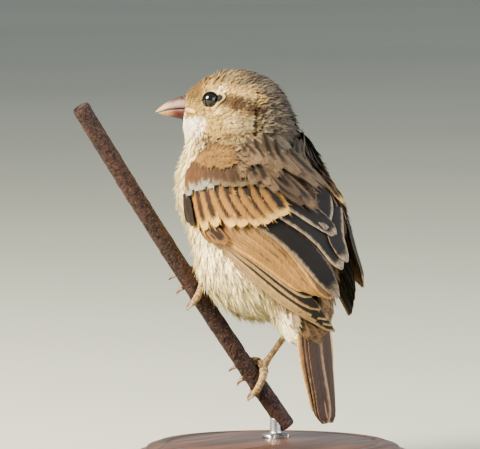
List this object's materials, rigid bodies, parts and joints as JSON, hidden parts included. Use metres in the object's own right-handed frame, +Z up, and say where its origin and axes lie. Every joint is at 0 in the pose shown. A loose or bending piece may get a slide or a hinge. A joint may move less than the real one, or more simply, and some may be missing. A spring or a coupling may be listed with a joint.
{
  "type": "house sparrow model",
  "caption": "Life-size still model of a plump brown sparrow clinging to a slanting rusty rod, seen over its shoulder with its head turned, on a round display base.",
  "frame": {"origin": "centre of the display base's underside", "axes": "+Z up; the trunk heads along -Y and the bird's left side is +X"},
  "size_m": [0.0982, 0.094, 0.1325],
  "materials": {
    "plumage": "soft streaked brown and buff body feathers",
    "flight_feathers": "smooth brown wing feathers with buff edges",
    "tail_feathers": "smooth brown tail feathers with buff edges",
    "bill_horn": "satin horn, pinkish below",
    "eye": "wet, near-black, high gloss",
    "leg_skin": "dry scaled skin, pinkish tan",
    "claw_horn": "satin horn",
    "rusty_iron": "rough dark rust",
    "stand_wood": "dark stained and waxed",
    "stand_steel": "brushed"
  },
  "bodies": {
    "root": {"head": "plumage", "neck": "plumage", "trunk": "plumage", "bill_upper": "bill_horn", "bill_lower": "bill_horn", "eye_left": "eye", "eye_right": "eye", "wing_left": "flight_feathers", "wing_right": "flight_feathers", "tail": "tail_feathers", "thigh_left": "plumage", "tarsus_left": "leg_skin", "foot_left": "leg_skin", "claw_left_hallux": "claw_horn", "claw_left_inner": "claw_horn", "claw_left_middle": "claw_horn", "claw_left_outer": "claw_horn", "thigh_right": "plumage", "tarsus_right": "leg_skin", "foot_right": "leg_skin", "claw_right_hallux": "claw_horn", "claw_right_inner": "claw_horn", "claw_right_middle": "claw_horn", "claw_right_outer": "claw_horn", "perch": "rusty_iron", "stand_base": "stand_wood", "stand_rod": "stand_steel"}
  },
  "joints": []
}
